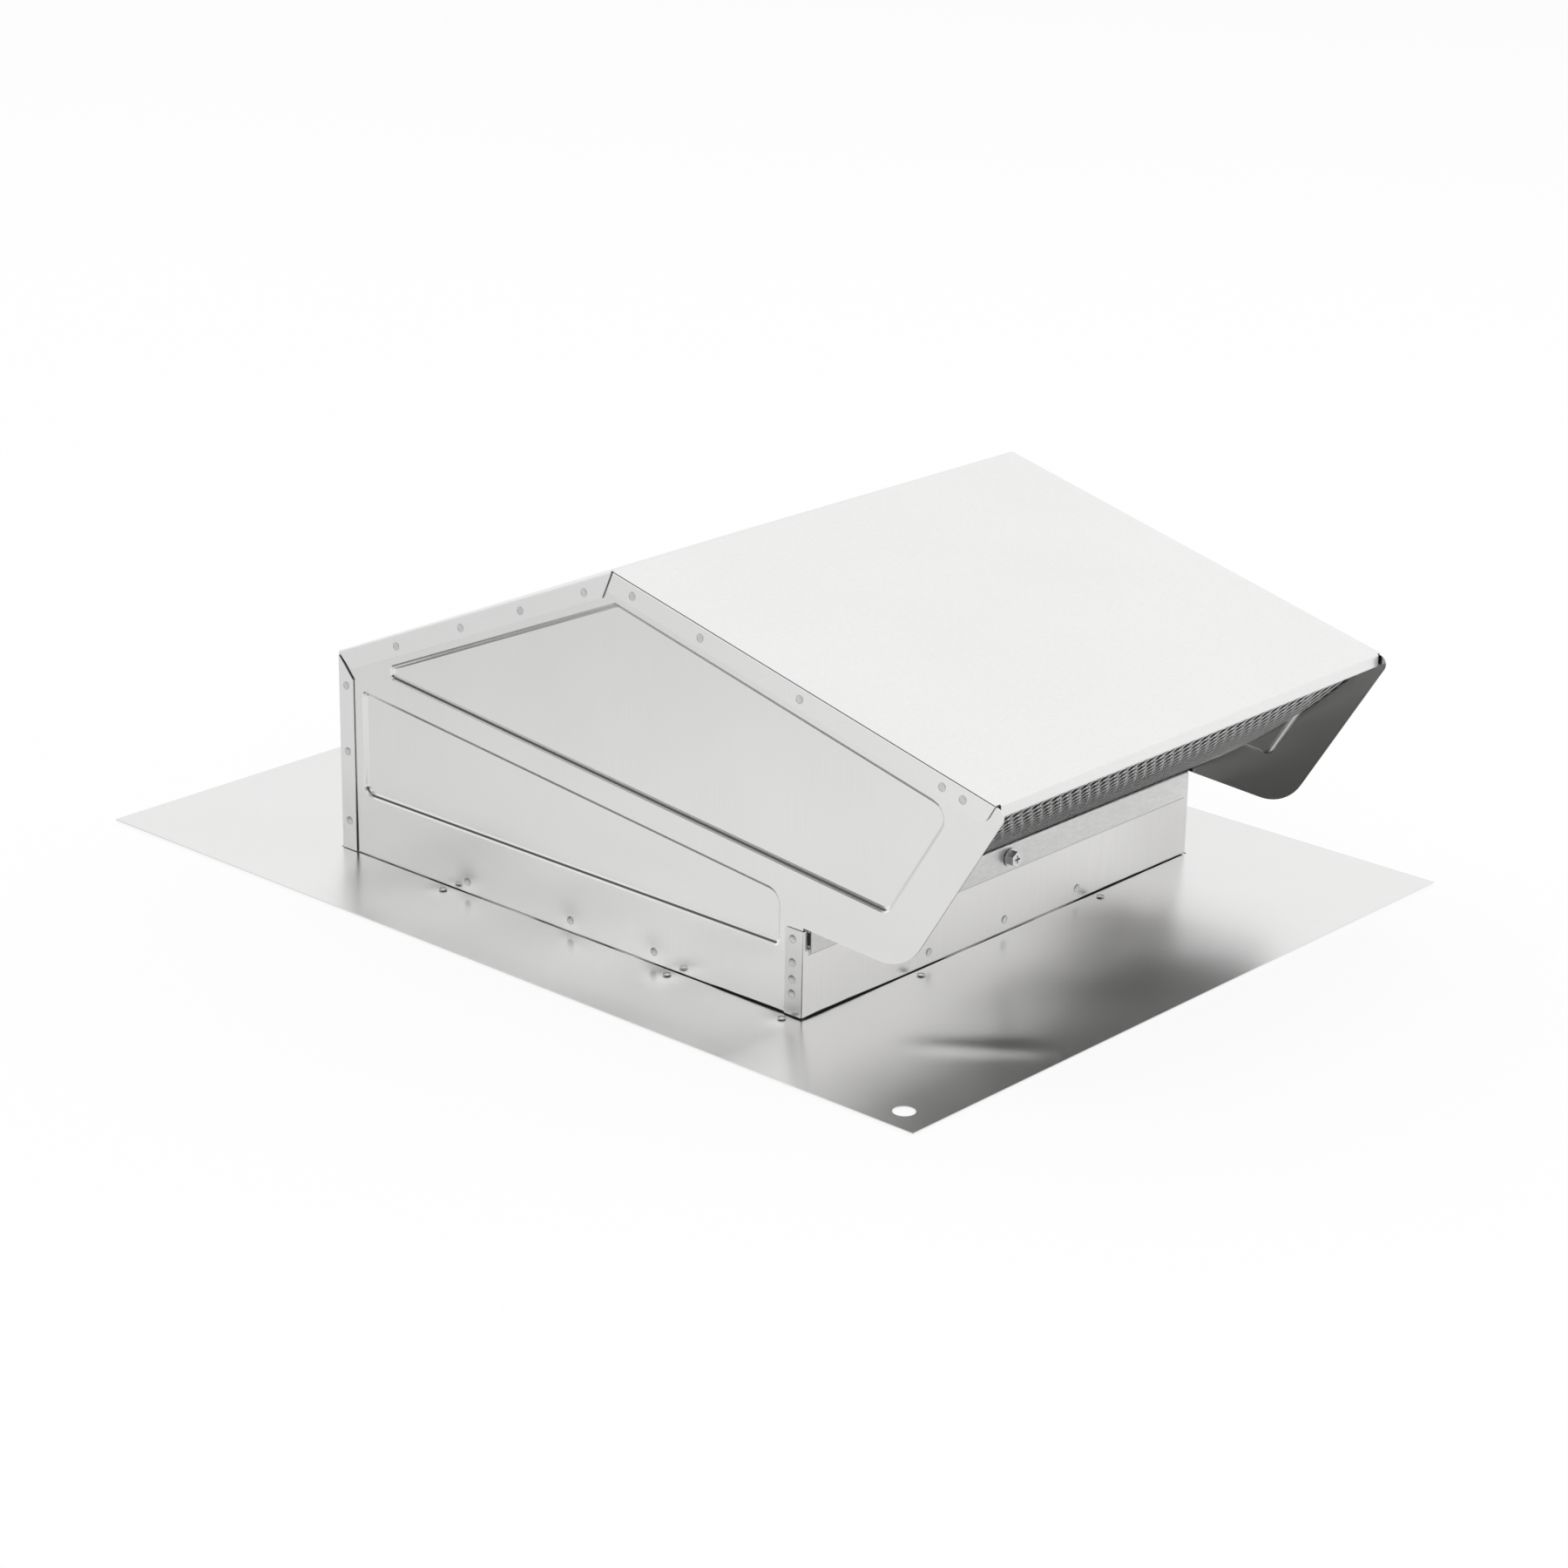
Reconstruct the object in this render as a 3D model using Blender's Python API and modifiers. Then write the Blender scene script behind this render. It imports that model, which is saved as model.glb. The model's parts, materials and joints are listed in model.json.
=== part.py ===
"""A static roof vent: a flashing plate, a low box with a sloping hood, and a screened opening at the front.

Metres, +Z up. The opening faces -Y, and the origin is below the middle of the flashing plate.
Heights called RISE are above the plate's top, and reaches are measured from the front wall's outer face.
"""

import math

import bmesh
import bpy
from mathutils import Vector
from mathutils.geometry import interpolate_bezier

# Sheet metal
SHEET = 0.0005
CLEAR = 0.0003
BEND = 0.0009
ARC_STEPS = 3
FOLD_STEPS = 7

# Flashing plate
PLATE_WIDTH = 0.368
PLATE_DEPTH = 0.490
FRONT_MARGIN = 0.1035
THROAT_GAP = 0.0008
NAIL_HOLE_RADIUS = 0.0048
NAIL_HOLE_FROM_SIDE = 0.0130
NAIL_HOLE_FROM_FRONT = 0.0155

# Box
BOX_WIDTH = 0.267
BOX_DEPTH = 0.2844
BASE_FLANGE = 0.0120
FLANGE_RELIEF = 0.0020

# Hood
BACK_RISE = 0.0951
RIDGE_SETBACK = 0.1105
RIDGE_RISE = 0.1710
LIP_REACH = 0.0990
LIP_RISE = 0.1210
LIP_DROP = 0.0060
LIP_INSET = 0.0030
HEM_WIDTH = 0.0024
HEM_LEG = 0.0040
SIDE_FLANGE = 0.0098
SLIT = 0.0005
RIDGE_SLIT_LEAN = math.radians(20)
EAVE_SLIT_LEAN = math.radians(45)
LIP_SLIT_LEAN = math.radians(29)
FLANGE_CORNER = 0.0040

# Side panels
CHEEK_RISE = 0.0410
CHEEK_TOE_REACH = 0.0546
CHEEK_TOE_RISE = 0.0378
CHEEK_TOE_RADIUS = 0.0240
NOSE_REACH = 0.1044
NOSE_RADIUS = 0.0040
PRESS_DEPTH = 0.0018
PRESS_SLOPE = 0.0022
PRESS_ROWS = 3
PRESS_ARC_STEPS = 5
PRESS_TILT = math.radians(5.8)
UPPER_PRESS_MARGIN = 0.0130
UPPER_PRESS_NOSE_MARGIN = 0.0200
UPPER_PRESS_FROM_BACK = 0.0340
UPPER_PRESS_BACK_HEIGHT = 0.0062
LOWER_PRESS_FROM_BACK = 0.0149
LOWER_PRESS_FROM_FRONT = 0.0135
LOWER_PRESS_FLOOR_RISE = 0.0288
UPPER_PRESS_RADII = (0.0025, 0.0025, 0.0040, 0.0080, 0.0060)
LOWER_PRESS_RADII = (0.0060, 0.0030, 0.0080, 0.0030)
PRESS_BAND = 0.0115

# Front wall
WALL_RISE = 0.0403
TAB_WIDTH = 0.0098
LEDGE = 0.0080

# Screen retainer
RETAINER_INSET = 0.0035
RETAINER_STAND_OFF = 0.0013
RETAINER_HEIGHT = 0.0124
RETAINER_LEG = 0.0043

# Bird screen
MESH_PITCH = 0.00635
WIRE = 0.00064
WEB = 0.0003
SCREEN_SAG = 0.0066
SCREEN_FOLD = 0.0012
SCREEN_TAIL = 0.0100
NOTCH_WIDTH = 0.0054
SCREEN_STEPS = 9
GAP_COLUMNS = 20
GAP_ROWS = 6

# Retainer screw
SCREW_LENGTH = 0.0127
SHANK_RADIUS = 0.0020
WASHER_RADIUS = 0.0042
WASHER_THICKNESS = 0.0009
HEX_ACROSS_FLATS = 0.00635
HEX_HEIGHT = 0.0030
CROSS_LENGTH = 0.0036
CROSS_WIDTH = 0.0009
CROSS_DEPTH = 0.0014

# Clinch buttons, with their places as shares of each joined edge
CLINCH_RADIUS = 0.0019
CLINCH_FLOOR = 0.0011
CLINCH_DEPTH = 0.0004
CLINCH_SIDES = 8
BACK_CLINCHES = (0.152, 0.506, 0.839)
EAVE_CLINCHES = (0.214, 0.455, 0.671, 0.893)
SLOPE_CLINCHES = (0.063, 0.249, 0.513, 0.874, 0.925)
TAB_CLINCHES = (0.26, 0.42, 0.61, 0.87)
WALL_DOTS = (0.307, 0.5, 0.693)
WALL_DOT_RISE = 0.0061
SIDE_DOTS = (0.302, 0.480, 0.709)
SIDE_DOT_RISE = 0.0055
BASE_CLINCH_OUT = 0.0052
BASE_SIDE_CLINCHES = (0.025, 0.257, 0.746)
BASE_END_CLINCHES = (0.266, 0.734)

# Places worked out from the sizes above
PLATE_TOP = 2 * SHEET + CLEAR
FRONT_Y = FRONT_MARGIN - PLATE_DEPTH / 2
HALF = BOX_WIDTH / 2
PANEL_X = HALF - SHEET - CLEAR
NEST = SHEET + CLEAR


def rise(height):
    """A height above the plate, as Z."""
    return PLATE_TOP + height


def setback(distance):
    """A distance behind the front wall's outer face, as Y."""
    return FRONT_Y + distance


# The hood's profile seen from the side, as (Y, Z) corners of its outer face
FLANGE_END = Vector((setback(BOX_DEPTH + BASE_FLANGE), SHEET))
BACK_FOOT = Vector((setback(BOX_DEPTH), SHEET))
EAVE = Vector((setback(BOX_DEPTH), rise(BACK_RISE)))
RIDGE = Vector((setback(RIDGE_SETBACK), rise(RIDGE_RISE)))
CREASE = Vector((setback(-LIP_REACH), rise(LIP_RISE)))
LIP_FOOT = CREASE + Vector((0, -LIP_DROP))
HEM_FOOT = LIP_FOOT + Vector((HEM_WIDTH, 0))
HEM_TOP = HEM_FOOT + Vector((0, HEM_LEG))

WALL_TOP = rise(WALL_RISE)
RETAINER_TOP = WALL_TOP + RETAINER_STAND_OFF + SHEET
RETAINER_FACE = setback(-RETAINER_STAND_OFF - SHEET)
RETAINER_END = RETAINER_FACE + RETAINER_LEG
RETAINER_MIDDLE = RETAINER_TOP - RETAINER_HEIGHT / 2


def cross2(a, b):
    return a.x * b.y - a.y * b.x


def crossing(point, direction, other, other_direction):
    """Where two lines in a plane meet."""
    reach = cross2(other - point, other_direction) / cross2(direction, other_direction)
    return point + direction * reach


def inset(corners, distances):
    """A closed outline with each side moved to its left by its own distance."""
    lines = []
    for start, end, distance in zip(corners, corners[1:] + corners[:1], distances):
        direction = (end - start).normalized()
        lines.append((start + Vector((-direction.y, direction.x)) * distance, direction))
    return [crossing(*lines[k - 1], *lines[k]) for k in range(len(lines))]


def rounded(corners, radii, steps=ARC_STEPS):
    """A closed outline with an arc at each corner, all with the same number of points."""
    points = []
    for k, (corner, radius) in enumerate(zip(corners, radii)):
        if radius == 0:
            points.append(corner)
            continue
        before = (corners[k - 1] - corner).normalized()
        after = (corners[(k + 1) % len(corners)] - corner).normalized()
        points += arc_at(corner, before, after, radius, steps)
    return points


def arc_at(corner, before, after, radius, steps):
    """Points of the arc of this radius that rounds a corner between two directions."""
    half_angle = before.angle(after) / 2
    centre = corner + (before + after).normalized() * radius / math.sin(half_angle)
    reach = radius / math.tan(half_angle)
    first = (corner + before * reach - centre).normalized()
    last = (corner + after * reach - centre).normalized()
    return [centre + first.slerp(last, k / steps) * radius for k in range(steps + 1)]


def ring(centre, radius, sides):
    angles = [2 * math.pi * (k + 0.5) / sides for k in range(sides)]
    return [centre + Vector((math.cos(a), math.sin(a))) * radius for a in angles]


class Sheet:
    """A folded sheet, drawn as its outer face and given its thickness inwards."""

    def __init__(self, name, colour, roughness):
        self.name = name
        self.colour = colour
        self.roughness = roughness
        self.mesh = bmesh.new()

    def loop(self, points):
        verts = [self.mesh.verts.new(point) for point in points]
        return verts

    def edges_of(self, verts):
        return [self.mesh.edges.new((a, b)) for a, b in zip(verts, verts[1:] + verts[:1])]

    def facet(self, place, outward, outline, clinches=(), holes=(), presses=(), raised=False):
        """One flat face in the plane that place maps to, with clinch buttons, holes and pressed recesses."""
        press = outward * (CLINCH_DEPTH if raised else -CLINCH_DEPTH)
        outer = self.loop([place(p) for p in outline])
        if not (clinches or holes or presses):
            self.mesh.faces.new(outer)
            return
        edges = self.edges_of(outer)
        for hole in holes:
            edges += self.edges_of(self.loop([place(p) for p in hole]))
        for centre in clinches:
            rim = self.loop([place(p) for p in ring(centre, CLINCH_RADIUS, CLINCH_SIDES)])
            floor = [place(p) + press for p in ring(centre, CLINCH_FLOOR, CLINCH_SIDES)]
            edges += self.edges_of(rim)
            self.recess(rim, floor)
        for rim_points, floor_points in presses:
            rows = []
            for k in range(PRESS_ROWS + 1):
                share = k / PRESS_ROWS
                drop = outward * PRESS_DEPTH * share * share * (3 - 2 * share)
                rows.append([place(a.lerp(b, share)) - drop for a, b in zip(rim_points, floor_points)])
            rim = self.loop(rows[0])
            edges += self.edges_of(rim)
            self.recess(rim, *rows[1:])
        bmesh.ops.triangle_fill(self.mesh, use_beauty=True, edges=edges, normal=outward)

    def recess(self, rim, *rows):
        """Walls from a rim down through rows of points, with a floor inside the last row."""
        for row in rows:
            lower = self.loop(row)
            for a, b, c, d in zip(rim, rim[1:] + rim[:1], lower[1:] + lower[:1], lower):
                self.mesh.faces.new((a, b, c, d))
            rim = lower
        self.mesh.faces.new(rim)

    def fold(self, start, end, before, after, radius=BEND):
        """The rounded bend along a fold line, between two faces that leave it in the given directions."""
        rows = [arc_at(corner, before, after, radius, ARC_STEPS) for corner in (start, end)]
        near, far = [self.loop(row) for row in rows]
        for k in range(ARC_STEPS):
            self.mesh.faces.new((near[k], near[k + 1], far[k + 1], far[k]))

    def finish(self, outward):
        """Welds the faces, turns them outwards and makes the object."""
        bmesh.ops.remove_doubles(self.mesh, verts=self.mesh.verts, dist=1e-6)
        bmesh.ops.recalc_face_normals(self.mesh, faces=self.mesh.faces)
        self.mesh.faces.ensure_lookup_table()
        widest = max(self.mesh.faces, key=lambda face: abs(face.normal.dot(outward)) * face.calc_area())
        if widest.normal.dot(outward) < 0:
            bmesh.ops.reverse_faces(self.mesh, faces=self.mesh.faces)
        obj = new_object(self.name, self.mesh, self.colour, self.roughness)
        solid = obj.modifiers.new("thickness", "SOLIDIFY")
        solid.thickness = SHEET
        solid.offset = -1
        solid.use_even_offset = True
        solid.use_quality_normals = True
        return obj


def trim(before, after, radius=BEND):
    """How far a bend reaches along each face from its fold line."""
    return radius / math.tan(before.angle(after) / 2)


def new_material(name, colour, roughness):
    material = bpy.data.materials.new(name)
    material.use_nodes = True
    shader = material.node_tree.nodes["Principled BSDF"]
    shader.inputs["Base Color"].default_value = (*colour, 1)
    shader.inputs["Metallic"].default_value = 1
    shader.inputs["Roughness"].default_value = roughness
    return material


def new_object(name, mesh, colour, roughness):
    data = bpy.data.meshes.new(name)
    mesh.to_mesh(data)
    mesh.free()
    data.materials.append(new_material(name, colour, roughness))
    obj = bpy.data.objects.new(name, data)
    parts.objects.link(obj)
    return obj


def hood_clinches():
    """(Y, Z) of each clinch button that joins the hood's side flanges to a side panel."""
    edges = (
        ("back", Vector((BACK_FOOT.x, PLATE_TOP)), EAVE, BACK_CLINCHES),
        ("eave", EAVE, RIDGE, EAVE_CLINCHES),
        ("slope", RIDGE, CREASE, SLOPE_CLINCHES),
    )
    centres = {}
    for name, start, end, places in edges:
        along = (end - start).normalized()
        inwards = Vector((-along.y, along.x))
        centres[name] = [start.lerp(end, share) + inwards * SIDE_FLANGE * 0.55 for share in places]
    return centres


def tab_clinches():
    """(Y, Z) of each clinch mark that joins the front wall's tabs to a side panel."""
    return [Vector((setback(TAB_WIDTH * 0.58), rise(WALL_RISE * share))) for share in TAB_CLINCHES]


def across(share):
    """A place across the box, as X."""
    return BOX_WIDTH * (share - 0.5)


def hood_flanges():
    """Each side flange as its fold line's ends and its free corners, in (Y, Z)."""
    down = Vector((0, -1))
    lean_back = Vector((math.sin(RIDGE_SLIT_LEAN), -math.cos(RIDGE_SLIT_LEAN)))
    lean_eave = Vector((-math.cos(EAVE_SLIT_LEAN), -math.sin(EAVE_SLIT_LEAN)))
    lean_lip = Vector((math.sin(LIP_SLIT_LEAN), -math.cos(LIP_SLIT_LEAN)))
    flanges = []
    spans = (
        ("back", BACK_FOOT, EAVE, rise(CLEAR) - BACK_FOOT.y, 2 * BEND, -down, lean_eave),
        ("eave", EAVE, RIDGE, BEND, BEND, lean_eave, lean_back),
        ("slope", RIDGE, CREASE, BEND, BEND, lean_back, lean_lip),
    )
    for name, start, end, skip_start, skip_end, lean_start, lean_end in spans:
        along = (end - start).normalized()
        inwards = Vector((-along.y, along.x))
        first = start + along * skip_start
        last = end - along * skip_end
        if name == "back":
            lean_start = inwards
        free_first = crossing(first, lean_start, start + inwards * SIDE_FLANGE, along)
        free_last = crossing(last, lean_end, start + inwards * SIDE_FLANGE, along)
        if name == "eave":
            free_last -= along * SLIT
            free_first += along * SLIT
        flanges.append((name, first, last, free_first, free_last, along, inwards))
    return flanges


def build_hood():
    """Back wall, back slope, front slope and hemmed lip, folded from one sheet with its side flanges."""
    sheet = Sheet("hood_sheet", (0.86, 0.87, 0.88), 0.34)
    corners = [FLANGE_END, BACK_FOOT, EAVE, RIDGE, CREASE, LIP_FOOT, HEM_FOOT, HEM_TOP]
    sideways = Vector((1, 0, 0))
    drop = Vector((0, 0, -1))
    side_trim = BEND
    flange_of = {name: rest for name, *rest in hood_flanges()}
    names = {1: "back", 2: "eave", 3: "slope"}
    half_widths = [HALF - FLANGE_RELIEF] + [HALF - side_trim] * 3 + [HALF - LIP_INSET] * 3
    clinches = hood_clinches()
    directions = [(b - a).normalized() for a, b in zip(corners, corners[1:])]
    trims = [0] + [trim(-directions[k], directions[k + 1]) for k in range(len(directions) - 1)] + [0]
    for k, (start, end, along) in enumerate(zip(corners, corners[1:], directions)):
        length = (end - start).length
        edge = [(min(half_widths[max(k - 1, 0) : k + 1]), trims[k])]
        if k in names:
            edge += [(half_widths[k], (place - start).dot(along)) for place in flange_of[names[k]][:2]]
        edge.append((min(half_widths[k : k + 2]), length - trims[k + 1]))
        outline = [Vector((-half, reach)) for half, reach in edge]
        outline += [Vector((half, reach)) for half, reach in reversed(edge)]
        outward = Vector((0, along.y, -along.x))
        buttons = []
        if k == 0:
            buttons = [Vector((across(share), length - BASE_CLINCH_OUT)) for share in BASE_END_CLINCHES]

        def place(point, start=start, along=along):
            return Vector((point.x, *(start + along * point.y)))

        sheet.facet(place, outward, outline, buttons, raised=True)
    for k in range(1, len(corners) - 1):
        half = min(half_widths[k - 1], half_widths[k])
        before = Vector((0, *-directions[k - 1]))
        after = Vector((0, *directions[k]))
        middle = Vector((0, *corners[k]))
        sheet.fold(middle - sideways * half, middle + sideways * half, before, after)
    for name, (first, last, free_first, free_last, along, inwards) in flange_of.items():
        for side in (-1, 1):
            add_side_flange(sheet, side, name, first, last, free_first, free_last, inwards, clinches[name])
    return sheet.finish(Vector((0, 0, 1)))


def add_side_flange(sheet, side, name, first, last, free_first, free_last, inwards, clinches):
    corners = [first + inwards * BEND, last + inwards * BEND, free_last, free_first]
    radii = [0, 0, FLANGE_CORNER if name == "slope" else 0, 0]
    outline = rounded(corners, radii)
    outward = Vector((side, 0, 0))
    sheet.facet(lambda p: Vector((side * HALF, *p)), outward, outline, clinches)
    before = Vector((-side, 0, 0))
    after = Vector((0, *inwards))
    sheet.fold(Vector((side * HALF, *first)), Vector((side * HALF, *last)), before, after)


def press_outlines():
    """The rim and the floor of each pressed recess in a side panel, in (Y, Z)."""
    tilt = Vector((-math.cos(PRESS_TILT), -math.sin(PRESS_TILT)))
    eave_along = (RIDGE - EAVE).normalized()
    slope_along = (CREASE - RIDGE).normalized()
    eave_line = EAVE + Vector((-eave_along.y, eave_along.x)) * UPPER_PRESS_MARGIN
    slope_line = RIDGE + Vector((-slope_along.y, slope_along.x)) * UPPER_PRESS_MARGIN
    toe = Vector((setback(-CHEEK_TOE_REACH), rise(CHEEK_TOE_RISE)))
    nose = nose_corner()
    edge_along = (toe - nose).normalized()
    edge_line = nose + Vector((-edge_along.y, edge_along.x)) * UPPER_PRESS_NOSE_MARGIN
    up = Vector((0, 1))
    upper_top = crossing(Vector((setback(BOX_DEPTH - UPPER_PRESS_FROM_BACK), 0)), up, eave_line, eave_along)
    upper_back = upper_top - up * UPPER_PRESS_BACK_HEIGHT
    upper = [
        upper_back,
        upper_top,
        crossing(eave_line, eave_along, slope_line, slope_along),
        crossing(slope_line, slope_along, edge_line, edge_along),
        crossing(edge_line, edge_along, upper_back, tilt),
    ]
    lower_top = upper_back + Vector((-tilt.y, tilt.x)) * PRESS_BAND
    back_line = Vector((setback(BOX_DEPTH - LOWER_PRESS_FROM_BACK), rise(LOWER_PRESS_FLOOR_RISE)))
    front_line = Vector((setback(LOWER_PRESS_FROM_FRONT), rise(LOWER_PRESS_FLOOR_RISE)))
    lower = [
        back_line,
        crossing(back_line, up, lower_top, tilt),
        crossing(front_line, up, lower_top, tilt),
        front_line,
    ]
    presses = []
    for corners, radii in ((upper, UPPER_PRESS_RADII), (lower, LOWER_PRESS_RADII)):
        floor = inset(corners, [PRESS_SLOPE] * len(corners))
        floor_radii = [max(radius - PRESS_SLOPE, SHEET) for radius in radii]
        rim = rounded(corners, radii, PRESS_ARC_STEPS)
        presses.append((rim, rounded(floor, floor_radii, PRESS_ARC_STEPS)))
    return presses


def nose_corner():
    """The cheek's front top corner before rounding, just under the hood."""
    along = (CREASE - RIDGE).normalized()
    under = RIDGE + Vector((-along.y, along.x)) * NEST
    return crossing(under, along, Vector((setback(-NOSE_REACH), 0)), Vector((0, 1)))


def build_side_panel(name, side):
    """One side of the box with its cheek beside the opening, two pressed recesses and a base flange."""
    sheet = Sheet(name, (0.80, 0.81, 0.82), 0.36)
    back = setback(BOX_DEPTH - NEST)
    front = setback(NEST)
    foot = SHEET + BEND
    eave_along = (RIDGE - EAVE).normalized()
    slope_along = (CREASE - RIDGE).normalized()
    eave_under = EAVE + Vector((-eave_along.y, eave_along.x)) * NEST
    slope_under = RIDGE + Vector((-slope_along.y, slope_along.x)) * NEST
    up = Vector((0, 1))
    flange_back = back - FLANGE_RELIEF
    flange_front = front + FLANGE_RELIEF
    corners = [
        Vector((flange_front, foot)),
        Vector((flange_back, foot)),
        Vector((back, foot)),
        crossing(Vector((back, 0)), up, eave_under, eave_along),
        crossing(eave_under, eave_along, slope_under, slope_along),
        nose_corner(),
        Vector((setback(-CHEEK_TOE_REACH), rise(CHEEK_TOE_RISE))),
        Vector((front, rise(CHEEK_RISE))),
        Vector((front, foot)),
    ]
    radii = [0, 0, 0, 0, 0, NOSE_RADIUS, CHEEK_TOE_RADIUS, 0, 0]
    centres = hood_clinches()
    clinches = centres["back"] + centres["eave"] + centres["slope"] + tab_clinches()
    clinches += [Vector((setback(BOX_DEPTH * share), rise(SIDE_DOT_RISE))) for share in SIDE_DOTS]
    outward = Vector((side, 0, 0))
    outline = rounded(corners, radii, steps=10)
    sheet.facet(lambda p: Vector((side * PANEL_X, *p)), outward, outline, clinches, presses=press_outlines())
    sheet.fold(
        Vector((side * PANEL_X, flange_front, SHEET)),
        Vector((side * PANEL_X, flange_back, SHEET)),
        Vector((0, 0, 1)),
        outward,
    )
    flange = [
        Vector((PANEL_X + BEND, flange_front)),
        Vector((PANEL_X + BEND, flange_back)),
        Vector((PANEL_X + BASE_FLANGE, flange_back - FLANGE_RELIEF)),
        Vector((PANEL_X + BASE_FLANGE, flange_front + FLANGE_RELIEF)),
    ]
    base = [Vector((PANEL_X + BASE_CLINCH_OUT, setback(BOX_DEPTH * share))) for share in BASE_SIDE_CLINCHES]
    sheet.facet(lambda p: Vector((side * p.x, p.y, SHEET)), Vector((0, 0, 1)), flange, base, raised=True)
    return sheet.finish(outward)


def build_front_wall():
    """The low wall below the opening, with corner tabs, a ledge along its top and a base flange."""
    sheet = Sheet("front_wall", (0.77, 0.78, 0.79), 0.38)
    face = setback(0)
    foot = SHEET + BEND
    flange_half = PANEL_X - SHEET - FLANGE_RELIEF
    upper_half = PANEL_X - NEST
    tab_foot = rise(CLEAR)
    top = WALL_TOP - BEND
    corners = [
        (-flange_half, foot),
        (flange_half, foot),
        (flange_half, tab_foot),
        (HALF - BEND, tab_foot),
        (HALF - BEND, top),
        (upper_half, top),
        (-upper_half, top),
        (BEND - HALF, top),
        (BEND - HALF, tab_foot),
        (-flange_half, tab_foot),
    ]
    dots = [Vector((across(share), rise(WALL_DOT_RISE))) for share in WALL_DOTS]
    screw_hole = ring(Vector((0, RETAINER_MIDDLE)), SHANK_RADIUS + CLEAR, 16)
    outward = Vector((0, -1, 0))
    sheet.facet(
        lambda p: Vector((p.x, face, p.y)), outward, [Vector(c) for c in corners], dots, holes=[screw_hole]
    )
    up = Vector((0, 0, 1))
    sheet.fold(Vector((-flange_half, face, SHEET)), Vector((flange_half, face, SHEET)), up, outward)
    sheet.fold(Vector((-upper_half, face, WALL_TOP)), Vector((upper_half, face, WALL_TOP)), -up, -outward)
    flange = [
        Vector((-flange_half, face - BEND)),
        Vector((flange_half, face - BEND)),
        Vector((flange_half - FLANGE_RELIEF, face - BASE_FLANGE)),
        Vector((FLANGE_RELIEF - flange_half, face - BASE_FLANGE)),
    ]
    base = [Vector((across(share), face - BASE_CLINCH_OUT)) for share in BASE_END_CLINCHES]
    sheet.facet(lambda p: Vector((p.x, p.y, SHEET)), up, flange, base, raised=True)
    ledge = [
        Vector((-upper_half, face + BEND, WALL_TOP)),
        Vector((upper_half, face + BEND, WALL_TOP)),
        Vector((upper_half, face + LEDGE, WALL_TOP)),
        Vector((-upper_half, face + LEDGE, WALL_TOP)),
    ]
    sheet.facet(lambda p: p, up, ledge)
    for side in (-1, 1):
        edge = Vector((side, 0, 0))
        sheet.fold(Vector((side * HALF, face, tab_foot)), Vector((side * HALF, face, top)), -edge, -outward)
        tab = [
            Vector((face + BEND, tab_foot)),
            Vector((face + TAB_WIDTH, tab_foot)),
            Vector((face + TAB_WIDTH, top)),
            Vector((face + BEND, top)),
        ]
        sheet.facet(lambda p, side=side: Vector((side * HALF, p.x, p.y)), edge, tab, tab_clinches())
    return sheet.finish(outward)


def build_base_plate():
    """The flashing plate, with the throat that the box stands in."""
    sheet = Sheet("base_plate", (0.82, 0.83, 0.84), 0.30)
    half_width = PLATE_WIDTH / 2
    half_depth = PLATE_DEPTH / 2
    outline = [
        Vector((-half_width, -half_depth)),
        Vector((half_width, -half_depth)),
        Vector((half_width, half_depth)),
        Vector((-half_width, half_depth)),
    ]
    throat_half = PANEL_X + THROAT_GAP
    throat_front = setback(-THROAT_GAP)
    throat_back = setback(BOX_DEPTH + THROAT_GAP)
    throat = [
        Vector((-throat_half, throat_front)),
        Vector((throat_half, throat_front)),
        Vector((throat_half, throat_back)),
        Vector((-throat_half, throat_back)),
    ]
    nail = Vector((NAIL_HOLE_FROM_SIDE - half_width, NAIL_HOLE_FROM_FRONT - half_depth))
    side_x = PANEL_X + BASE_CLINCH_OUT
    clinches = []
    for share in BASE_SIDE_CLINCHES:
        clinches += [Vector((x, setback(BOX_DEPTH * share))) for x in (-side_x, side_x)]
    for share in BASE_END_CLINCHES:
        clinches.append(Vector((across(share), setback(-BASE_CLINCH_OUT))))
        clinches.append(Vector((across(share), setback(BOX_DEPTH + BASE_CLINCH_OUT))))
    up = Vector((0, 0, 1))
    holes = [throat, ring(nail, NAIL_HOLE_RADIUS, 20)]
    sheet.facet(lambda p: Vector((p.x, p.y, PLATE_TOP)), up, outline, clinches, holes, raised=True)
    return sheet.finish(up)


def build_retainer():
    """A bent strip over the front wall's top edge that keeps the bird screen's foot in place."""
    sheet = Sheet("screen_retainer", (0.72, 0.73, 0.74), 0.42)
    half = HALF - RETAINER_INSET
    outward = Vector((0, -1, 0))
    up = Vector((0, 0, 1))
    face = [
        Vector((-half, RETAINER_TOP - RETAINER_HEIGHT)),
        Vector((half, RETAINER_TOP - RETAINER_HEIGHT)),
        Vector((half, RETAINER_TOP - BEND)),
        Vector((-half, RETAINER_TOP - BEND)),
    ]
    hole = ring(Vector((0, RETAINER_MIDDLE)), SHANK_RADIUS + CLEAR, 16)
    sheet.facet(lambda p: Vector((p.x, RETAINER_FACE, p.y)), outward, face, holes=[hole])
    ends = [Vector((x, RETAINER_FACE, RETAINER_TOP)) for x in (-half, half)]
    sheet.fold(*ends, -up, -outward)
    leg = [
        Vector((-half, RETAINER_FACE + BEND, RETAINER_TOP)),
        Vector((half, RETAINER_FACE + BEND, RETAINER_TOP)),
        Vector((half, RETAINER_END, RETAINER_TOP)),
        Vector((-half, RETAINER_END, RETAINER_TOP)),
    ]
    sheet.facet(lambda p: p, up, leg)
    return sheet.finish(outward)


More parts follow.
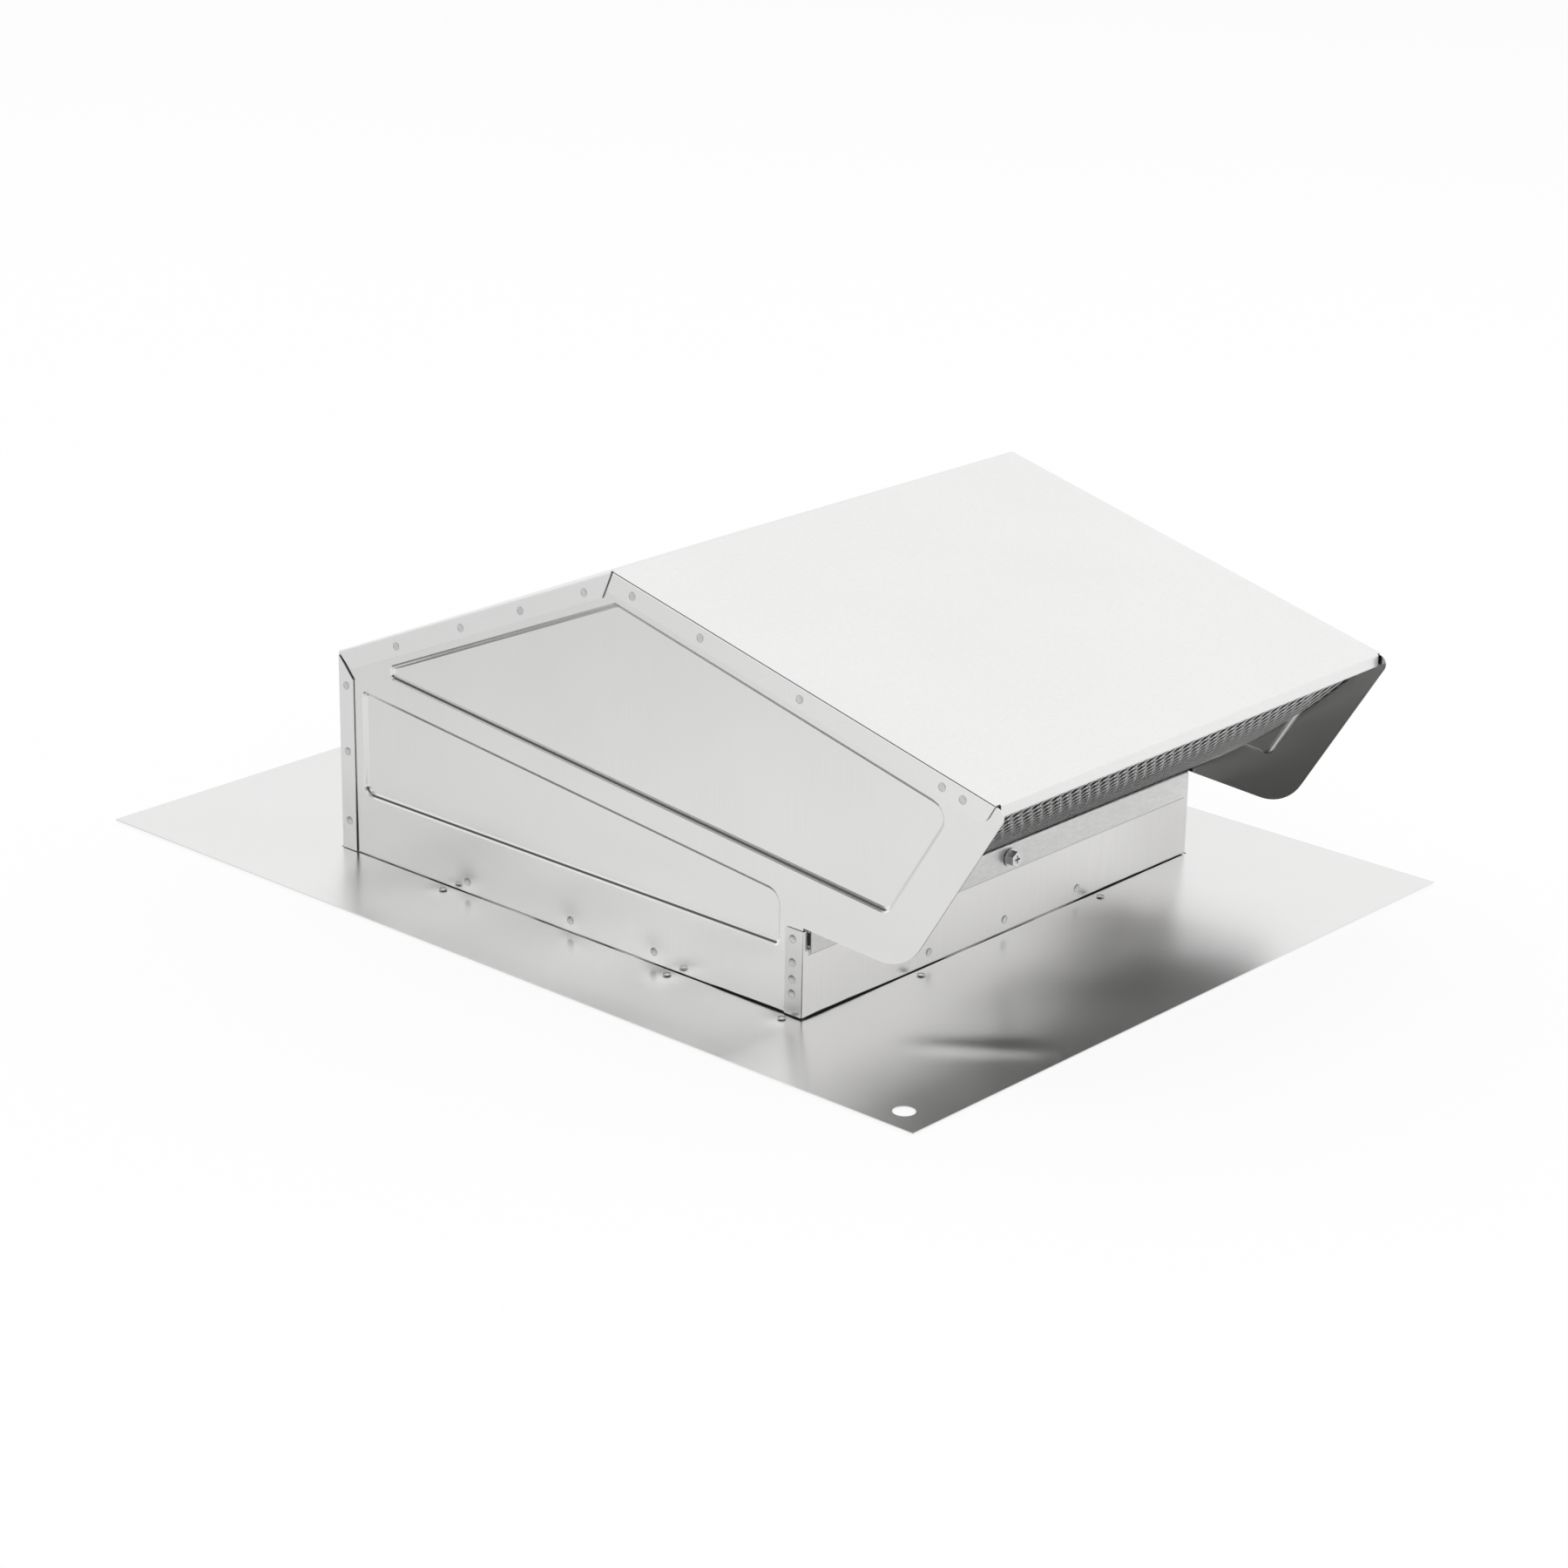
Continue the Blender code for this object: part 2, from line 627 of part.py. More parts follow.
class ScreenCurve:
    """The bird screen's profile: an arc from behind the retainer up to the lip's hem, in (Y, Z)."""

    def __init__(self):
        depth = WEB / 2 + WIRE / 2
        slope_along = (CREASE - RIDGE).normalized()
        under = RIDGE + Vector((-slope_along.y, slope_along.x)) * (NEST + 2 * depth)
        hem_side = Vector((HEM_TOP.x + NEST + 2 * depth, 0))
        self.foot = Vector((RETAINER_END + 2 * depth, RETAINER_TOP + CLEAR + depth))
        self.head = crossing(under, slope_along, hem_side, Vector((0, 1)))
        chord = self.head - self.foot
        self.along = chord.normalized()
        self.out = Vector((-self.along.y, self.along.x))
        self.radius = chord.length**2 / (8 * SCREEN_SAG) + SCREEN_SAG / 2
        self.half_angle = math.asin(chord.length / 2 / self.radius)
        middle = (self.foot + self.head) / 2
        self.centre = middle - self.out * (self.radius - SCREEN_SAG)
        self.length = 2 * self.half_angle * self.radius

    def normal(self, distance):
        """The direction out of the screen, at a distance along it from its foot."""
        angle = distance / self.radius - self.half_angle
        return self.out * math.cos(angle) + self.along * math.sin(angle)

    def point(self, distance, lift=0):
        return self.centre + self.normal(distance) * (self.radius + lift)

    def tail(self, lift):
        """The screen's end between wall and retainer, over the wall's top and folded back to the foot."""
        gap = RETAINER_STAND_OFF / 2
        corner = Vector((setback(0) - gap, WALL_TOP + gap))
        back = Vector((1, 0))
        down = Vector((0, -1))
        turn = arc_at(corner, down, back, BEND + gap, ARC_STEPS)
        ledge = Vector((RETAINER_END, corner.y))
        normal = self.normal(0)
        onward = Vector((normal.y, -normal.x))
        fold = interpolate_bezier(
            ledge, ledge + back * SCREEN_FOLD, self.foot - onward * SCREEN_FOLD, self.foot, FOLD_STEPS
        )
        path = [corner + down * SCREEN_TAIL, *turn, *fold[:-1]]
        ahead = path[1:] + [self.foot]
        behind = path[:1] + path[:-1]
        moves = [(b - a).normalized() for a, b in zip(behind, ahead)]
        return [place + Vector((-move.y, move.x)) * lift for place, move in zip(path, moves)]


def wire_places(length):
    """Where the wires lie across a length, at the mesh's pitch and centred on it."""
    count = int((length - WIRE) / MESH_PITCH) + 1
    first = (length - (count - 1) * MESH_PITCH) / 2
    return [first + k * MESH_PITCH for k in range(count)]


def ridged(length, lift):
    """(place, lift) points across a length that rise to a ridge at each wire."""
    points = [(0, 0)]
    for place in wire_places(length):
        points += [(place - WIRE / 2, 0), (place, lift), (place + WIRE / 2, 0)]
    return points + [(length, 0)]


def build_screen():
    """Square wire cloth as one wall: wires as ridges across both its faces, and gaps between them."""
    curve = ScreenCurve()
    half = PANEL_X - SHEET - PRESS_DEPTH - CLEAR
    ends = (-half, half)
    mesh = bmesh.new()
    outer = [[mesh.verts.new((x, *place)) for x in ends] for place in curve.tail(WEB / 2)]
    inner = [[mesh.verts.new((x, *place)) for x in ends] for place in curve.tail(-WEB / 2)]
    across = ridged(2 * half, WIRE / 2)
    bare = [(s, 0) for s in (0, curve.length)]
    stations = [WIRE + (curve.length - 2 * WIRE) * k / SCREEN_STEPS for k in range(SCREEN_STEPS + 1)]
    for s, full in sorted(bare + [(s, 1) for s in stations]):
        row = [mesh.verts.new((x - half, *curve.point(s, WEB / 2 + lift * full))) for x, lift in across]
        outer.append(row)
    for s, lift in ridged(curve.length, WIRE / 2):
        inner.append([mesh.verts.new((x, *curve.point(s, -WEB / 2 - lift))) for x in ends])
    for grid in (outer, inner):
        for row, above in zip(grid, grid[1:]):
            if len(row) == len(above):
                for a, b, c, d in zip(row, row[1:], above[1:], above):
                    mesh.faces.new((a, b, c, d))
            else:
                mesh.faces.new(row + list(reversed(above)))
    for end in (0, -1):
        mesh.faces.new([row[end] for row in outer] + [row[end] for row in reversed(inner)])
        mesh.faces.new(outer[end] + list(reversed(inner[end])))
    bmesh.ops.recalc_face_normals(mesh, faces=mesh.faces)
    screen = new_object("bird_screen", mesh, (0.60, 0.61, 0.62), 0.40)
    cut = screen.modifiers.new("gaps", "BOOLEAN")
    cut.operation = "DIFFERENCE"
    cut.object = gap_cutter(curve, half)
    return screen


def spread(places, count):
    """The spaces between neighbouring places that get a gap, spread evenly."""
    spaces = [(a, b) for a, b in zip(places, places[1:])]
    step = len(spaces) / count
    return [spaces[int((k + 0.5) * step)] for k in range(min(count, len(spaces)))]


def gap_cutter(curve, half):
    """Square gaps between the wires, and a notch in the tail for the screw."""
    mesh = bmesh.new()
    opening = MESH_PITCH - 1.5 * WIRE
    for low, high in spread(wire_places(curve.length), GAP_ROWS):
        middle = (low + high) / 2
        normal = curve.normal(middle)
        for left, right in spread(wire_places(2 * half), GAP_COLUMNS):
            centre = Vector(((left + right) / 2 - half, *curve.point(middle)))
            add_block(mesh, centre, Vector((0, *normal)), (opening, opening, 2 * MESH_PITCH))
    notch_top = RETAINER_MIDDLE + NOTCH_WIDTH / 2
    notch = Vector((0, setback(-RETAINER_STAND_OFF / 2), notch_top - SCREEN_TAIL / 2))
    add_block(mesh, notch, Vector((0, -1, 0)), (NOTCH_WIDTH, SCREEN_TAIL, RETAINER_STAND_OFF))
    bmesh.ops.recalc_face_normals(mesh, faces=mesh.faces)
    return cutter("gap_cutter", mesh)


def add_block(mesh, centre, normal, size):
    """A block with its third size along the normal, and its first along X."""
    tangent = Vector((0, -normal.z, normal.y))
    axes = (Vector((1, 0, 0)), tangent, normal)
    for vert in bmesh.ops.create_cube(mesh, size=1)["verts"]:
        reaches = [axis * share * length for axis, share, length in zip(axes, vert.co, size)]
        vert.co = sum(reaches, centre)


def cutter(name, mesh):
    data = bpy.data.meshes.new(name)
    mesh.to_mesh(data)
    mesh.free()
    obj = bpy.data.objects.new(name, data)
    obj.hide_render = True
    obj.display_type = "WIRE"
    cutters.objects.link(obj)
    return obj


def build_screw():
    """A hex washer head screw with a cross recess, through the retainer and the front wall."""
    seat = RETAINER_FACE - CLEAR
    top = WASHER_THICKNESS + HEX_HEIGHT
    tip = SCREW_LENGTH
    profile = [
        (0, WASHER_THICKNESS / 2),
        (WASHER_RADIUS, WASHER_THICKNESS / 2),
        (WASHER_RADIUS, 0),
        (SHANK_RADIUS, 0),
        (SHANK_RADIUS, -tip + 2 * SHANK_RADIUS),
        (0, -tip),
    ]
    mesh = bmesh.new()
    verts = [mesh.verts.new((r, 0, z)) for r, z in profile]
    for a, b in zip(verts, verts[1:]):
        mesh.edges.new((a, b))
    screw = new_object("retainer_screw", mesh, (0.62, 0.62, 0.63), 0.25)
    turn = screw.modifiers.new("turn", "SCREW")
    turn.steps = 20
    turn.render_steps = 20
    turn.use_merge_vertices = True
    turn.merge_threshold = 1e-5
    turn.use_normal_calculate = True
    head = bmesh.new()
    bmesh.ops.create_cone(
        head,
        cap_ends=True,
        segments=6,
        radius1=HEX_ACROSS_FLATS / math.sqrt(3),
        radius2=HEX_ACROSS_FLATS / math.sqrt(3),
        depth=top - WASHER_THICKNESS / 4,
    )
    bmesh.ops.translate(head, verts=head.verts, vec=(0, 0, (top + WASHER_THICKNESS / 4) / 2))
    join = screw.modifiers.new("hex", "BOOLEAN")
    join.operation = "UNION"
    join.object = cutter("hex_head", head)
    for k, name in enumerate(("cross_one", "cross_two")):
        slot = bmesh.new()
        bmesh.ops.create_cube(slot, size=1)
        size = (CROSS_LENGTH, CROSS_WIDTH, 2 * CROSS_DEPTH)
        bmesh.ops.scale(slot, verts=slot.verts, vec=size if k == 0 else (size[1], size[0], size[2]))
        bmesh.ops.translate(slot, verts=slot.verts, vec=(0, 0, top))
        cut = screw.modifiers.new(name, "BOOLEAN")
        cut.operation = "DIFFERENCE"
        cut.object = cutter(name, slot)
    for obj in (screw, *[m.object for m in screw.modifiers if m.type == "BOOLEAN"]):
        obj.location = (0, seat, RETAINER_MIDDLE)
        obj.rotation_euler = (math.pi / 2, 0, 0)
    return screw


for old in list(bpy.data.objects):
    bpy.data.objects.remove(old, do_unlink=True)
parts = bpy.data.collections.new("static_roof_vent")
cutters = bpy.data.collections.new("cutters")
bpy.context.scene.collection.children.link(parts)
bpy.context.scene.collection.children.link(cutters)

build_base_plate()
build_side_panel("left_side_panel", -1)
build_side_panel("right_side_panel", 1)
build_front_wall()
build_hood()
build_retainer()
build_screen()
build_screw()
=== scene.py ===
# A low roof vent in bare aluminium sheet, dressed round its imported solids.
import json
import math

import bmesh
import bpy
from mathutils import Matrix, Vector


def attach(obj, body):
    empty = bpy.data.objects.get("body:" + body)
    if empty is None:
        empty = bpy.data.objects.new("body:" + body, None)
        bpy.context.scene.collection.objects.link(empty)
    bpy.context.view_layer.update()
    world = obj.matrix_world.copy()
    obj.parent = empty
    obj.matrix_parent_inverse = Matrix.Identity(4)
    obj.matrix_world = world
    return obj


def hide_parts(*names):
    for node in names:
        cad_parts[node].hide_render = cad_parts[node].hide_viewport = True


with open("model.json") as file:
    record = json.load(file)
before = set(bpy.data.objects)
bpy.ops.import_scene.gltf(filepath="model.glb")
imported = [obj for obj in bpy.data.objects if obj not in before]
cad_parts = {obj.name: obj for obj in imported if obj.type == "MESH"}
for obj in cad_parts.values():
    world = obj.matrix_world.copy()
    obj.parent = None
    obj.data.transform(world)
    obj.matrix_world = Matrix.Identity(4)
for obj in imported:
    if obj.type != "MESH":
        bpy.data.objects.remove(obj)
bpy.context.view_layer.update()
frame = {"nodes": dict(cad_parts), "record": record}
nodes = frame["nodes"]
print("frame loaded:", len(nodes), "nodes")


def boxOf(name):
    # the lowest and the highest corner of a node
    points = [nodes[name].matrix_world @ vertex.co for vertex in nodes[name].data.vertices]
    return [Vector([pick(point[axis] for point in points) for axis in range(3)]) for pick in (min, max)]


# the sheets as the solids have them
sheet = {"thickness": 0.0005, "gap": 0.0003, "retainerStandOff": 0.0013}

# where the box stands in the frame
retainerLow, retainerHigh = boxOf("screen_retainer")
plateTop = boxOf("base_plate")[0].z + sheet["thickness"]
wallFace = retainerLow.y + sheet["thickness"] + sheet["retainerStandOff"]
halfBox = boxOf("hood_sheet")[1].x
boxDepth = boxOf("left_side_panel")[1].y + sheet["thickness"] + sheet["gap"] - wallFace
site = {
    "plateTop": plateTop,
    "wallFace": wallFace,
    "halfBox": halfBox,
    "panelX": halfBox - sheet["thickness"] - sheet["gap"],
    "wallRise": boxOf("front_wall")[1].z - plateTop,
    "boxDepth": boxDepth,
    # buttons low on the side panels and on the plate beside them, as shares of the box's depth
    "sideDotShares": (0.302, 0.480, 0.709),
    "sideDotRise": 0.0055,
    "baseDotShares": (0.025, 0.257, 0.746),
    "baseDotOut": 0.0044,
    # the hood's corners, as distance behind the front wall and rise above the plate
    "foot": (boxDepth, 0.0),
    "eave": (boxDepth, 0.0951),
    "ridge": (0.1105, 0.1710),
    "crease": (-0.0990, 0.1210),
}


def back(distance):
    # a distance behind the front wall as y
    return site["wallFace"] + distance


def up(rise):
    # a rise above the plate as z
    return site["plateTop"] + rise


# short ways to write node trees


class Signal:
    # one output of a node, so that sums on it read as plain arithmetic
    def __init__(self, graph, socket):
        self.graph = graph
        self.socket = socket

    def __add__(self, other):
        return self.graph.sum("ADD", self, other)

    def __radd__(self, other):
        return self.graph.sum("ADD", other, self)

    def __sub__(self, other):
        return self.graph.sum("SUBTRACT", self, other)

    def __rsub__(self, other):
        return self.graph.sum("SUBTRACT", other, self)

    def __mul__(self, other):
        return self.graph.sum("MULTIPLY", self, other)

    def __rmul__(self, other):
        return self.graph.sum("MULTIPLY", other, self)

    def __truediv__(self, other):
        return self.graph.sum("DIVIDE", self, other)


class Graph:
    # a node tree that is being written
    def __init__(self, tree):
        self.tree = tree

    def node(self, kind, settings=None, inputs=None, output=0):
        made = self.tree.nodes.new(kind)
        for name, value in (settings or {}).items():
            setattr(made, name, value)
        for name, value in (inputs or {}).items():
            if isinstance(value, Signal):
                self.tree.links.new(value.socket, made.inputs[name])
            else:
                made.inputs[name].default_value = value
        return Signal(self, made.outputs[output]) if made.outputs else None

    def sum(self, operation, *values):
        return self.node("ShaderNodeMath", {"operation": operation}, dict(enumerate(values)))

    def vector(self, operation, *values, output=0):
        settings = {"operation": operation}
        return self.node("ShaderNodeVectorMath", settings, dict(enumerate(values)), output)

    def scaled(self, vector, share):
        settings = {"operation": "SCALE"}
        return self.node("ShaderNodeVectorMath", settings, {"Vector": vector, "Scale": share})

    def split(self, vector):
        parts = self.node("ShaderNodeSeparateXYZ", None, {0: vector}).socket.node
        return [Signal(self, parts.outputs[axis]) for axis in "XYZ"]

    def smooth(self, value, low, high):
        settings = {"interpolation_type": "SMOOTHSTEP"}
        return self.node("ShaderNodeMapRange", settings, {0: value, 1: low, 2: high})

    def ramp(self, value, low, high):
        return self.node("ShaderNodeMapRange", None, {0: value, 1: low, 2: high})

    def circle(self, radius, sides):
        size = {"Resolution": sides, "Radius": radius}
        return self.node("GeometryNodeCurvePrimitiveCircle", {"mode": "RADIUS"}, size)

    def joined(self, shapes):
        made = self.tree.nodes.new("GeometryNodeJoinGeometry")
        for shape in shapes:
            self.tree.links.new(shape.socket, made.inputs[0])
        return Signal(self, made.outputs[0])

    def copies(self, shape, points, rotation=(0.0, 0.0, 0.0)):
        # the shape at each of the points
        values = {"Points": points, "Instance": shape, "Rotation": rotation}
        made = self.node("GeometryNodeInstanceOnPoints", None, values)
        return self.node("GeometryNodeRealizeInstances", None, {"Geometry": made})


def openTree(name, sizes, counts):
    # a new geometry tree, with its inputs under their names
    tree = bpy.data.node_groups.new(name, "GeometryNodeTree")
    kinds = {"Geometry": "Geometry"}
    kinds.update({label: "Float" for label in sizes})
    kinds.update({label: "Int" for label in counts})
    for label, kind in kinds.items():
        tree.interface.new_socket(label, in_out="INPUT", socket_type="NodeSocket" + kind)
    tree.interface.new_socket("Geometry", in_out="OUTPUT", socket_type="NodeSocketGeometry")
    g = Graph(tree)
    source = tree.nodes.new("NodeGroupInput")
    return g, {socket.name: Signal(g, socket) for socket in source.outputs if socket.name}


def closeTree(g, shape, material):
    # the tree's last nodes
    shape = g.node("GeometryNodeRealizeInstances", None, {"Geometry": shape})
    shape = g.node("GeometryNodeSetMaterial", None, {"Geometry": shape, "Material": material})
    sink = g.tree.nodes.new("NodeGroupOutput")
    g.tree.links.new(shape.socket, sink.inputs[0])
    return g.tree


def grow(base, tree, values, name):
    # runs a tree on an object and keeps the result as a plain mesh
    # an input takes the value of its own name, as "Half Width" takes halfWidth
    modifier = base.modifiers.new("grow", "NODES")
    modifier.node_group = tree
    for item in tree.interface.items_tree:
        key = item.name[0].lower() + item.name[1:].replace(" ", "")
        if item.in_out == "INPUT" and key in values:
            modifier[item.identifier] = values[key]
    bpy.context.view_layer.update()
    depsgraph = bpy.context.evaluated_depsgraph_get()
    mesh = bpy.data.meshes.new_from_object(base.evaluated_get(depsgraph))
    for attribute in [a.name for a in mesh.attributes if a.name in ("outwards", "facing")]:
        mesh.attributes.remove(mesh.attributes[attribute])
    mesh.name = name
    piece = bpy.data.objects.new(name, mesh)
    bpy.context.scene.collection.objects.link(piece)
    bpy.data.objects.remove(base)
    return piece


# bare sheet metal, one look for each slot

sheetLooks = {
    "hood_sheet": {
        "tint": (0.957, 0.956, 0.951),
        "shade": 0.925,
        "rough": 0.30,
        "roughSpread": 0.12,
        "grain": (450, 1500, 1500),
        "grainDepth": 0.09,
        "cloud": 14,
        "cloudDepth": 0.05,
        "dent": 0.0004,
    },
    "side_panel": {
        "tint": (0.951, 0.949, 0.941),
        "shade": 0.885,
        "rough": 0.19,
        "roughSpread": 0.08,
        "grain": (2200, 2200, 40),
        "grainDepth": 0.05,
        "cloud": 16,
        "cloudDepth": 0.06,
        "dent": 0.0005,
    },
    "front_wall": {
        "tint": (0.948, 0.944, 0.934),
        "shade": 0.89,
        "rough": 0.30,
        "roughSpread": 0.06,
        "grain": (2200, 2200, 30),
        "grainDepth": 0.08,
        "cloud": 30,
        "cloudDepth": 0.04,
        "dent": 0.0003,
    },
    "screen_retainer": {
        "tint": (0.936, 0.935, 0.932),
        "shade": 0.78,
        "rough": 0.38,
        "roughSpread": 0.12,
        "grain": (260, 1400, 1400),
        "grainDepth": 0.20,
        "cloud": 420,
        "cloudDepth": 0.10,
        "dent": 0.0002,
    },
    "base_plate": {
        "tint": (0.955, 0.952, 0.948),
        "shade": 0.91,
        "rough": 0.26,
        "roughSpread": 0.05,
        "grain": (1500, 130, 1500),
        "grainDepth": 0.06,
        "cloud": 13,
        "cloudDepth": 0.05,
        "dent": 0.0030,
    },
    "bird_screen": {
        "tint": (0.97, 0.97, 0.965),
        "shade": 0.95,
        "rough": 0.42,
        "roughSpread": 0.2,
        "grain": (900, 900, 900),
        "grainDepth": 0.10,
        "cloud": 300,
        "cloudDepth": 0.2,
        "dent": 0.0,
    },
    "retainer_screw": {
        "tint": (0.93, 0.93, 0.93),
        "shade": 0.88,
        "rough": 0.42,
        "roughSpread": 0.15,
        "grain": (1200, 1200, 300),
        "grainDepth": 0.06,
        "cloud": 500,
        "cloudDepth": 0.15,
        "dent": 0.0,
    },
    "clinch_button": {
        "tint": (0.93, 0.935, 0.94),
        "shade": 0.72,
        "rough": 0.30,
        "roughSpread": 0.2,
        "grain": (900, 900, 900),
        "grainDepth": 0.20,
        "cloud": 400,
        "cloudDepth": 0.25,
        "dent": 0.0,
    },
}

# soft hollows in the sheet round the clinch buttons near the plate
pinch = {"reach": 0.0065, "depth": 0.00032}

# painted light: brighter low on the side panels towards the front; painted shade: duller at the front
# wall's right end
sidePaintedLight = {"gain": 0.15, "rise": (0.050, 0.020), "ahead": (0.060, -0.060)}
wallPaintedShade = {"loss": 0.13, "across": (0.060, 0.125)}

# painted shadow: the dark line on the front wall under the retainer's lower edge
retainerPaintedShadow = {"loss": 0.35, "below": (0.0019, 0.0014), "atEnds": 0.0002}

# painted shade on the inner faces, which are darker: the share of light that they keep, and where a
# face turns inwards
innerPaintedShade = {
    "hood_sheet": {"keep": 0.58, "turn": (-0.2, -0.4)},
    "side_panel": {"keep": 0.70, "turn": (-0.02, -0.06)},
}

# where the dents' noise starts and how fine it is
dents = {"start": (-0.26, 0.74, -0.24), "scale": 8.0}

# how much the plate's front corners curl, up at the left and down at the right, and how softly
plateCurl = {"twist": 0.42, "onset": 0.025}

# a low crease across the plate's front left corner, pressed down between its two ends
crease = {
    "first": (-0.119, -0.193),
    "last": (-0.088, -0.232),
    "halfWidth": 0.0080,
    "depth": 0.00052,
    "fade": 0.014,
}

# painted shadow: the dark line in the joint between the box's foot and the plate, ragged on top and
# taller near the front corners
seamPaintedShadow = {
    "halfWidth": 0.0011,
    "top": 0.0008,
    "ragged": 0.0028,
    "raggedScale": 22.0,
    "raggedMiddle": 0.4,
    "taller": 0.0007,
    "cornerReach": (0.100, 0.060),
    "topBlur": 0.0003,
    "sideBlur": 0.0002,
    "shade": 0.04,
}


def pinchPlaces(name):
    # the hollows' centres on the left side, with x dropped where a panel stands upright
    depth = site["boxDepth"]
    if name == "side_panel":
        return [(0, back(depth * share), up(site["sideDotRise"])) for share in site["sideDotShares"]]
    if name == "base_plate":
        x = site["halfBox"] + site["baseDotOut"]
        return [(x, back(depth * share), 0) for share in site["baseDotShares"]]
    return []


def mirrored(g, place, keep):
    # the place with its left half laid over the right one, and 0 on the axes that aren't kept
    keepX, keepY, keepZ = keep
    across = g.vector("MULTIPLY", g.vector("ABSOLUTE", place), (keepX, 0, 0))
    return g.vector("ADD", across, g.vector("MULTIPLY", place, (0, keepY, keepZ)))


def pinches(g, name, place):
    # how deep the hollows are here, as a share of their full depth
    flat = mirrored(g, place, (0, 1, 1) if name == "side_panel" else (1, 1, 0))
    total = 0.0
    for centre in pinchPlaces(name):
        away = g.vector("DISTANCE", flat, centre, output="Value") / pinch["reach"]
        total = g.sum("EXPONENT", -1 * away * away) + total
    return total


def seamPaintedShadowFactor(g, place):
    # a painted shadow: falls to a deep shade in the joint between the box and the plate
    x, y, z = g.split(place)
    noise = {"Vector": place, "Scale": seamPaintedShadow["raggedScale"], "Detail": 2.0}
    wander = g.node("ShaderNodeTexNoise", None, noise) - seamPaintedShadow["raggedMiddle"]
    corner = (site["halfBox"], site["wallFace"], 0)
    fromCorner = g.vector("DISTANCE", mirrored(g, place, (1, 1, 0)), corner, output="Value")
    taller = seamPaintedShadow["taller"] * g.smooth(fromCorner, *seamPaintedShadow["cornerReach"])
    above = g.ramp(z - (seamPaintedShadow["top"] + seamPaintedShadow["ragged"] * wander + taller), 0.0, seamPaintedShadow["topBlur"])
    edgeX = site["halfBox"] + seamPaintedShadow["halfWidth"]
    edgeY = site["boxDepth"] / 2 + seamPaintedShadow["halfWidth"]
    fromMiddle = g.sum("ABSOLUTE", y - back(site["boxDepth"] / 2))
    beside = g.ramp(g.sum("ABSOLUTE", x), edgeX - seamPaintedShadow["sideBlur"], edgeX)
    before = g.ramp(fromMiddle, edgeY - seamPaintedShadow["sideBlur"], edgeY)
    clear = g.sum("MAXIMUM", above, g.sum("MAXIMUM", beside, before))
    return seamPaintedShadow["shade"] + (1 - seamPaintedShadow["shade"]) * clear


def creaseDepth(g, x, y):
    # how far the crease is pressed into the plate here
    first, last = Vector(crease["first"]), Vector(crease["last"])
    along = (last - first).normalized()
    fromX, fromY = x - first.x, y - first.y
    run = fromX * along.x + fromY * along.y
    off = (fromY * along.x - fromX * along.y) / crease["halfWidth"]
    length, fade = (last - first).length, crease["fade"]
    ends = g.smooth(run, -fade, fade) * g.smooth(run, length + fade, length - fade)
    return crease["depth"] * ends * g.sum("EXPONENT", -1 * off * off)


def sidePaintedLightFactor(g, place):
    # painted light: a side panel is brighter low down towards the front
    x, y, z = g.split(place)
    return 1 + sidePaintedLight["gain"] * g.smooth(z, *sidePaintedLight["rise"]) * g.smooth(y, *sidePaintedLight["ahead"])


def wallPaintedShadeFactor(g, place):
    # painted shade: the front wall is duller at its right end, and a painted shadow makes a line under
    # the retainer
    x, y, z = g.split(place)
    rises = [retainerLow.z - below for below in retainerPaintedShadow["below"]]
    ends = [retainerHigh.x + retainerPaintedShadow["atEnds"] * side for side in (1, -1)]
    paintedShadowLine = g.smooth(z, *rises) * g.smooth(g.sum("ABSOLUTE", x), *ends)
    paintedRightEndShade = 1 - wallPaintedShade["loss"] * g.smooth(x, *wallPaintedShade["across"])
    return paintedRightEndShade * (1 - retainerPaintedShadow["loss"] * paintedShadowLine)


def insidePaintedShadeFactor(g, name, place):
    # painted shade under the hood and between the side panels
    faceX, faceY, faceZ = g.split(g.node("ShaderNodeTexCoord", output="Normal"))
    turned = faceZ if name == "hood_sheet" else faceX * g.split(place)[0]
    return 1 - (1 - innerPaintedShade[name]["keep"]) * g.smooth(turned, *innerPaintedShade[name]["turn"])


